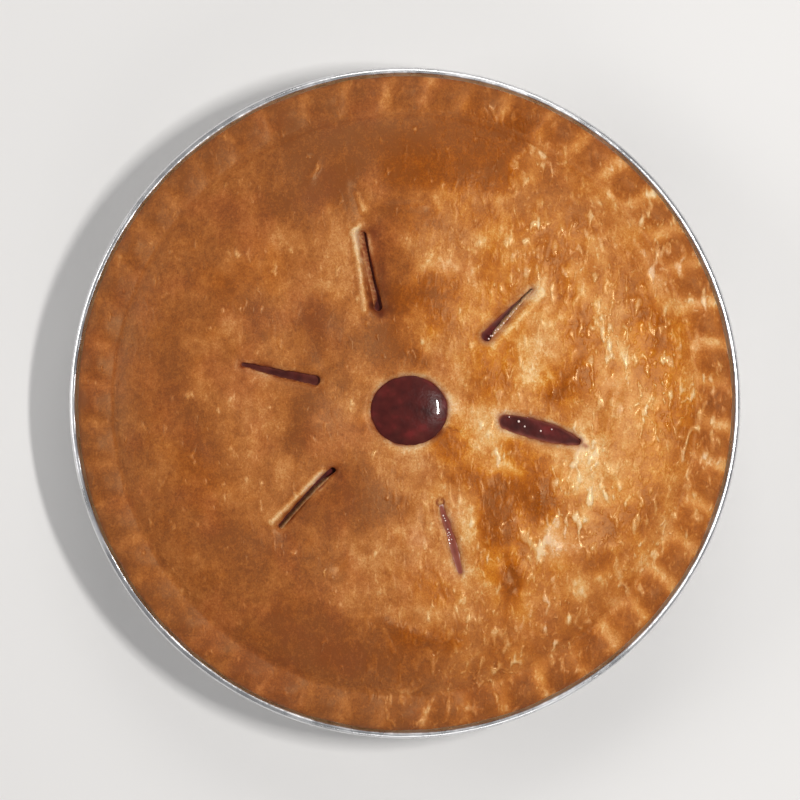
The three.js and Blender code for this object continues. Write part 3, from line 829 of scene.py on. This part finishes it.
def cutVents(bm):
    # removes the faces within the vents, and draws the vertices that are left out to their edges
    bm.verts.index_update()
    x, y, _ = coordinates(bm.verts)
    gap = ventDistance(x, y)
    near = [v for v, far in zip(bm.verts, gap) if far < lidShape["eased"]]
    within = {f for f in bm.faces if all(gap[v.index] <= 0 for v in f.verts)}
    unseen = set(within)
    while unseen:
        part = connectedFaces([next(iter(unseen))], unseen)
        unseen -= part
        if len(part) < lidShape["scrapFaces"]:
            within -= part
    bmesh.ops.delete(bm, geom=list(within), context="FACES")
    edgeVerts = [v for v in near if v.is_valid and v.is_boundary]
    nearVerts = [v for v in near if v.is_valid and not v.is_boundary]
    drawToEdge(edgeVerts, 3)
    for _ in range(lidShape["easeTurns"]):
        evenLoops(edgeVerts)
        bmesh.ops.smooth_vert(bm, verts=nearVerts, factor=0.5, use_axis_x=True, use_axis_y=True)
        drawToEdge(edgeVerts, 1)


def addRim(bm):
    # the crimped rim, ring by ring; returns its outer loop
    inner = lidShape["gridRadius"]
    outer = [e for e in bm.edges if e.is_boundary and e.verts[0].co.length > 90]
    for number in range(1, lidShape["rimRings"] + 1):
        share = number / lidShape["rimRings"]
        _, outer = ringTo(bm, outer, inner + share * (edgeRadius - lidShape["rimInset"] - inner), 0)
    return outer


def shapeTop(bm, layers):
    # the height and the bake of everything on top
    verts = list(bm.verts)
    x, y, _ = coordinates(verts)
    r = np.hypot(x, y)
    gap = ventDistance(x, y)
    height, relief = lidHeight(x, y)
    softness = lidShape["lipRound"] * (1 + 0.5 * noiseField(x, y, 5, 18.3))
    roll = np.clip(1 - np.clip(gap, 0, 50) / softness, 0, 1)
    height -= lidShape["lipDrop"] * (1 + 0.4 * noiseField(x, y, 7, 19.1)) * roll ** 2.2
    wobble = 1 + 0.004 * noiseField(x, y, 9, 12.5) * smoothStep(106, 110, r)
    puff = wrinkleStrength(x, y) * (0.3 + 0.7 * smoothStep(1, 6, gap))
    puff *= 1 - 0.7 * np.clip(lineField(darkStreaks, x, y), 0, 1)
    fields = {
        "browningAndPaintedLight": browningAndPaintedLight(x, y, relief, gap),
        "stainAndShade": juiceStainAndShade(x, y, gap),
        "puffed": puff,
        "wash": washing(x, y) * smoothStep(0.2, 2.5, gap),
        "dry": smoothStep(95, 104, r) * (0.7 + 0.6 * noiseField(x, y, 7, 21.7, 2)),
        "ridged": smoothStep(0.1, 0.8, relief),
    }
    for index, (vert, place) in enumerate(zip(verts, zip(x * wobble, y * wobble, height))):
        vert.co = Vector(place)
        for name, values in fields.items():
            vert[layers[name]] = values[index]


def addWalls(bm, layers):
    # the cut walls of the vents; returns the loops at their feet
    edges = [e for e in bm.edges if e.is_boundary and math.hypot(*e.verts[0].co.xy) < 90]
    rim = list({v for e in edges for v in e.verts})
    topX, topY, topZ = coordinates(rim)
    slopeX, slopeY = ventSlope(topX, topY, 0.2, plainDistance)
    base = {vert: (place, slope, ventLean(*place[:2]))
            for vert, place, slope in zip(rim, zip(topX, topY, topZ), zip(slopeX, slopeY))}
    fullDepth = lidShape["ventWall"][-1][0]
    for depth, outwards in lidShape["ventWall"]:
        share = depth / fullDepth
        pairs, edges = newRing(bm, edges)
        for vert, source in pairs:
            base[vert] = base[source]
            (x, y, z), (awayX, awayY), (leanX, leanY, pale) = base[source]
            out = outwards + 0.1 * noise.noise((x / 2, y / 2, depth * 0.8))
            vert.co.x = x + out * awayX + leanX * share
            vert.co.y = y + out * awayY + leanY * share
            vert.co.z = z - depth
            # a wall that slopes into view is painted paler: partly less juice and browning, partly a painted
            # highlight
            sloping = -(leanX * awayX + leanY * awayY) / lidShape["fullSlope"]
            shade = 1 - pale * min(max(sloping, lidShape["leastSlope"]), 1)
            juice = 0.45 + share * 0.65 + 0.5 * noise.noise((x / 0.8, y / 0.8, depth))
            vert[layers["stainAndShade"]] = min(max(juice * shade, 0), 0.95)
            vert[layers["browningAndPaintedLight"]] = 0.45 * shade
    return edges


def fillUnderside(bm, feet, outer):
    # fills from the outer loop to the feet of the vents, and takes out the faces that would close the vents
    made = bmesh.ops.triangle_fill(bm, edges=feet + outer, use_beauty=True, normal=(0, 0, -1))["geom"]
    fill = {f for f in made if isinstance(f, bmesh.types.BMFace)}
    outside = connectedFaces([f for e in outer for f in e.link_faces], fill, set(feet))
    bmesh.ops.delete(bm, geom=list(fill - outside), context="FACES")


def addUnderside(bm, layers, outer, feet):
    rings = [(edgeRadius - lidShape["trimRound"], rimSeat + lidShape["trimRound"])]
    rings += [(radius, float(lidUnder(radius)))
              for radius in (edgeRadius - lidShape["trimWidth"], *lidShape["underRadii"])]
    for radius, height in rings:
        pairs, outer = ringTo(bm, outer, radius, height)
        for vert, source in pairs:
            onTrim = radius > lidShape["crimpRadius"]
            vert[layers["browningAndPaintedLight"]] = source[layers["browningAndPaintedLight"]] if onTrim else 0.2
            vert[layers["dry"]] = 1.0
    fillUnderside(bm, feet, outer)


def buildLid():
    bm = bmesh.new()
    discGrid(bm, lidShape["gridCells"], lidShape["gridRadius"])
    refineNear(bm, *lidShape["refined"])
    cutVents(bm)
    layers = {name: bm.verts.layers.float.new(name)
              for name in ["browningAndPaintedLight", "stainAndShade", "puffed", "wash", "dry", "ridged"]}
    outer = addRim(bm)
    shapeTop(bm, layers)
    feet = addWalls(bm, layers)
    addUnderside(bm, layers, outer, feet)
    bmesh.ops.recalc_face_normals(bm, faces=bm.faces)
    finishPiece(bm, "lid", bakedPastry, "top_crust")


buildLid()


fillingShape = {
    "gridCells": 110,
    "radius": 97.0,
    "refined": [(-20.0, 3.0), (-20.0, 1.6)],     # distances from a vent between which the cells are halved
    "hidden": 1.0,              # below the lid's underside
    # for the round vent and the six slits
    "gelDepths": (0.3, 4.1, 4.2, 2.3, 1.6, 4.6, 3.2),     # below the lid's surface
    "thinness": (0.0, 0.0, 0.0, -0.05, 0.2, 0.0, 0.05),   # how much light gets through it
    "rosyEdges": (0.1, 0.4, 0.5, 0.65, 0.5, 0.1, 0.25),   # more of that along the edges
    "crown": 1.5,               # how far the gel in the round vent falls away to its edge
    "beadDepth": 1.5,           # deepest that a bead lies under the lid's surface
    "sides": [(99.5, 32.0), (95.4, 20.0), (86.0, 6.2), (81.5, 4.3)],      # radius and height, going down
}

# beads of gel in the slits, painted near white as glints, as (x, y, radius) in mm
beads = [(35.1, -4.7, 0.25), (38.3, -6.2, 0.42), (40.3, -7.9, 0.3), (41.3, -4.7, 0.25), (45.7, -9.4, 0.32),
         (49.4, -8.9, 0.25), (12.9, -37.9, 0.3), (13.3, -38.8, 0.2), (13.6, -39.6, 0.25),
         (14.4, -42.5, 0.22),
         (14.8, -43.6, 0.28), (15.2, -44.3, 0.2), (15.7, -45.9, 0.2), (28.2, 21.6, 0.3),
         (28.8, 22.6, 0.2), (29.4, 22.6, 0.34), (30.2, 23.6, 0.26), (30.4, 24.5, 0.2), (31.3, 24.8, 0.32),
         (32.3, 26.1, 0.2), (33.2, 26.9, 0.28), (34.4, 28.2, 0.22), (35.3, 29.2, 0.26), (36.4, 30.6, 0.2),
         (37.5, 31.7, 0.24), (38.6, 33.1, 0.18)]


def gelSurface(x, y):
    # the height of the gel, how thin it is, and whether it is the still gel of the round vent
    r = np.hypot(x, y)
    gap = plainDistance(x, y)
    which = ventDistances(x, y).argmin(axis=0)
    depth = np.array(fillingShape["gelDepths"])[which]
    rosyEdge = np.exp(-np.clip(-gap, 0, 9) / 0.7) * np.array(fillingShape["rosyEdges"])[which]
    thinness = np.array(fillingShape["thinness"])[which] + rosyEdge
    thinness = np.clip(thinness + 0.12 * noiseField(x, y, 2.8, 7.4), 0, 1)
    lumps = 0.35 * noiseField(x, y, 5, 3.1) + 0.12 * noiseField(x, y, 1.8, 6.2)
    meniscus = 0.15 * np.exp(-(gap / 0.6) ** 2)
    fromMiddle = np.hypot(x - hole["x"], y - hole["y"]) / hole["radius"]
    crown = fillingShape["crown"] * np.clip(fromMiddle, 0, 1.1) ** 3
    inHole = holeDistance(x, y) < 3
    gel = domeHeight(r) - depth + np.where(inHole, 0.05 * lumps - crown, 0.5 * lumps + meniscus)
    hidden = lidUnder(r) - fillingShape["hidden"]
    height = hidden + (gel - hidden) * smoothStep(1.9, 0.9, gap)
    return height, thinness, inHole


def buildFilling():
    bm = bmesh.new()
    thinnessAndGlint = bm.verts.layers.float.new("thinnessAndGlint")
    pool = bm.verts.layers.float.new("pool")
    discGrid(bm, fillingShape["gridCells"], fillingShape["radius"])
    for low, high in fillingShape["refined"]:
        refineNear(bm, low, high)
    verts = list(bm.verts)
    x, y, _ = coordinates(verts)
    height, thinness, inHole = gelSurface(x, y)
    for vert, z, light, still in zip(verts, height, thinness, inHole):
        vert.co.z = z
        vert[thinnessAndGlint] = light
        vert[pool] = gelFinish["poolCoat" if still else "slitCoat"]
    outer = [e for e in bm.edges if e.is_boundary]
    for radius, z in fillingShape["sides"]:
        _, outer = ringTo(bm, outer, radius, z)
    bmesh.ops.edgenet_fill(bm, edges=outer)
    for beadX, beadY, radius in beads:
        nearest = int(np.argmin((x - beadX) ** 2 + (y - beadY) ** 2))
        lowest = domeHeight(np.hypot(x[nearest], y[nearest])) - fillingShape["beadDepth"]
        beadZ = max(height[nearest], lowest) + 0.2 * radius
        made = bmesh.ops.create_icosphere(bm, subdivisions=2, radius=radius,
                                          matrix=Matrix.Translation((beadX, beadY, beadZ)))
        # the beads take the near-white painted glint
        for vert in made["verts"]:
            vert[thinnessAndGlint] = 1.0
    bmesh.ops.recalc_face_normals(bm, faces=bm.faces)
    finishPiece(bm, "cherryFilling", cherryGel, "filling")


buildFilling()


def spun(profile, steps):
    # a closed body of revolution from a profile of (radius, height) that starts and ends on the axis
    bm = bmesh.new()
    verts = [bm.verts.new((r, 0, z)) for r, z in profile]
    edges = [bm.edges.new(pair) for pair in zip(verts, verts[1:])]
    bmesh.ops.spin(bm, geom=verts + edges, cent=(0, 0, 0), axis=(0, 0, 1), angle=2 * math.pi,
                   steps=steps, use_merge=True)
    bmesh.ops.remove_doubles(bm, verts=bm.verts, dist=1e-4)
    bmesh.ops.recalc_face_normals(bm, faces=bm.faces)
    return bm


bottomShape = {
    "steps": 432,
    "seamGap": 0.03,            # from the lid's underside
    "rippleRadius": 107,        # the pale edge outside this is uneven
    "ripple": 0.25,             # with the crimps of the lid
    "rough": 0.45,
}


def buildBottomCrust():
    seam = rimSeat - bottomShape["seamGap"]
    outside = [(0, 1.2), (84, 1.2), (86.2, 2.2), (87.3, 3.4), (95.3, 16), (103.4, 29.2), (105.9, 30.35)]
    edge = [(108.8, 30.3), (109.8, 30.6), (110.1, 31.3), (109.9, 32.1), (109.3, seam), (102, seam)]
    inside = [(100.5, 32.2), (92.6, 20), (84.4, 6.1), (81, 4.0), (0, 4.0)]
    bm = spun(outside + edge + inside, bottomShape["steps"])
    for vert in bm.verts:
        r = vert.co.xy.length
        if r > bottomShape["rippleRadius"]:
            angle = math.atan2(vert.co.y, vert.co.x)
            ripple = bottomShape["ripple"] * math.cos(lidShape["crimps"] * angle)
            ripple += bottomShape["rough"] * noise.noise((vert.co.x / 6, vert.co.y / 6, vert.co.z / 3))
            vert.co.xy *= 1 + ripple / r
    finishPiece(bm, "bottomCrust", underPastry, "bottom_crust")


buildBottomCrust()


panShape = {
    "steps": 576,
    "beadRadius": 1.5,
    "beadCentre": 0.7,          # below the top of the flange
    "pleats": 48,
    "pleatDepth": 0.5,
    "pleatSharpness": 0.96,
    "finePleats": 144,
    "fineDepth": 0.12,
    "fineSharpness": 0.9,
    "pleated": (87, 106.5),     # the radii between which the wall is pleated
}


def panProfile():
    beadRadius = panShape["beadRadius"]
    beadAngles = [math.radians(190 + 20 * k) for k in range(17)]
    bead = [(panRadius - beadRadius + beadRadius * math.cos(a),
             flangeTop - panShape["beadCentre"] + beadRadius * math.sin(a)) for a in beadAngles]
    base = [(0, 0.5), (58, 0.5), (59, 0.45), (60, 0.0), (62, 0.0), (63, 0.45), (64, 0.5),
            (76, 0.5), (78, 0.0), (84.5, 0)]
    outside = [(86.2, 0.35), (87.5, 1.1), (88.6, 2.6), (92.7, 9), (96.8, 15.5), (100.9, 22), (104.2, 27.2),
               (105.2, 28.5), (106.4, 29.2), (109, 29.2)]
    inside = [(109, 30.0), (106.3, 30.0), (104.4, 28.8), (103.3, 27.2), (95.9, 15.5), (87.7, 2.8),
              (86.6, 1.5), (84.4, 0.8), (0, 0.8)]
    return base + outside + bead + inside


def pleatDepth(angle, z):
    # how far the pleated wall stands out at an angle and a height; the pleats die away at both ends
    wander = 0.5 * noise.noise((2.5 * math.cos(angle), 2.5 * math.sin(angle), 1.7))
    broad = math.asin(panShape["pleatSharpness"] * math.cos(panShape["pleats"] * angle + wander)) / 1.3
    fine = math.asin(panShape["fineSharpness"] * math.cos(panShape["finePleats"] * angle + 3 * wander))
    shallow = min(max((z - 1.0) / 4, 0), 1) * min(max((30.2 - z) / 2.5, 0), 1)
    uneven = 0.8 + 0.4 * noise.noise((6 * math.cos(angle), 6 * math.sin(angle), 4.4))
    return (panShape["pleatDepth"] * broad + panShape["fineDepth"] * fine) * shallow * uneven


def buildPan():
    bm = spun(panProfile(), panShape["steps"])
    low, high = panShape["pleated"]
    for vert in bm.verts:
        r = vert.co.xy.length
        if low <= r <= high:
            vert.co.xy *= 1 + pleatDepth(math.atan2(vert.co.y, vert.co.x), vert.co.z) / r
    finishPiece(bm, "foilPan", pressedFoil, "pan")


buildPan()


studio = {
    "frameWidth": 268.8 * mm,        # what the picture takes in at the height of the lid
    "cameraHeight": 1.5,             # over the top of the lid
    "sensorWidth": 36,
    "centre": (-1.68 * mm, 1.01 * mm),
    "skyColour": (0.96, 0.97, 1.0, 1),
    "skyLight": 0.25,
    "skySeen": 0.9,                  # how bright the camera sees the sky
    "lightColour": (1.0, 0.985, 0.965),
    "lightTarget": (0, 0, 0.03),
    # name: place, level width and slanting length in m, power in W
    "lights": {
        "keyStrip": ((0.5, 0.05, 1.15), 0.24, 0.055, 9),
        "leftSoft": ((-1.9, 0.3, 1.1), 1.2, 1.0, 13),
        "backSoft": ((0.2, 1.8, 1.4), 1.4, 1.0, 13),
        "frontSoft": ((0.4, -1.9, 1.2), 1.4, 1.0, 8),
    },
    "floorRadius": 9,
    "floorSockets": {"Base Color": (0.75, 0.74, 0.73, 1), "Roughness": 0.7},
}


def buildFloor():
    bm = bmesh.new()
    bmesh.ops.create_circle(bm, cap_ends=True, segments=96, radius=studio["floorRadius"])
    material, _, _ = newMaterial("paleFloor", studio["floorSockets"])
    addMesh(bm, "floor", material)


def addLight(name, place, width, length, power):
    light = bpy.data.lights.new(name, "AREA")
    light.shape = "RECTANGLE"
    light.size, light.size_y = width, length
    light.energy = power
    light.color = studio["lightColour"]
    lamp = addObject(name, light)
    lamp.location = place
    lamp.rotation_euler = (Vector(studio["lightTarget"]) - Vector(place)).to_track_quat("-Z", "Y").to_euler()
    lamp.visible_camera = False


def buildSky():
    # dim as a light, but bright to the camera
    world = bpy.data.worlds.new("studio")
    world.use_nodes = True
    tree = world.node_tree
    seen = addNode(tree, "ShaderNodeLightPath").outputs["Is Camera Ray"]
    strength = addNode(tree, "ShaderNodeMapRange", {0: seen, 3: studio["skyLight"], 4: studio["skySeen"]})
    background = tree.nodes["Background"]
    background.inputs["Color"].default_value = studio["skyColour"]
    tree.links.new(strength.outputs[0], background.inputs["Strength"])
    bpy.context.scene.world = world


def buildCamera():
    # looks straight down
    camera = bpy.data.cameras.new("camera")
    camera.sensor_width = studio["sensorWidth"]
    camera.lens = studio["sensorWidth"] * studio["cameraHeight"] / studio["frameWidth"]
    eye = addObject("camera", camera)
    eye.location = (*studio["centre"], lidHigh.z + studio["cameraHeight"])
    bpy.context.scene.camera = eye


buildFloor()
buildSky()
for name, setting in studio["lights"].items():
    addLight(name, *setting)
buildCamera()
bpy.context.scene.view_settings.view_transform = "Standard"
print("studio ready")
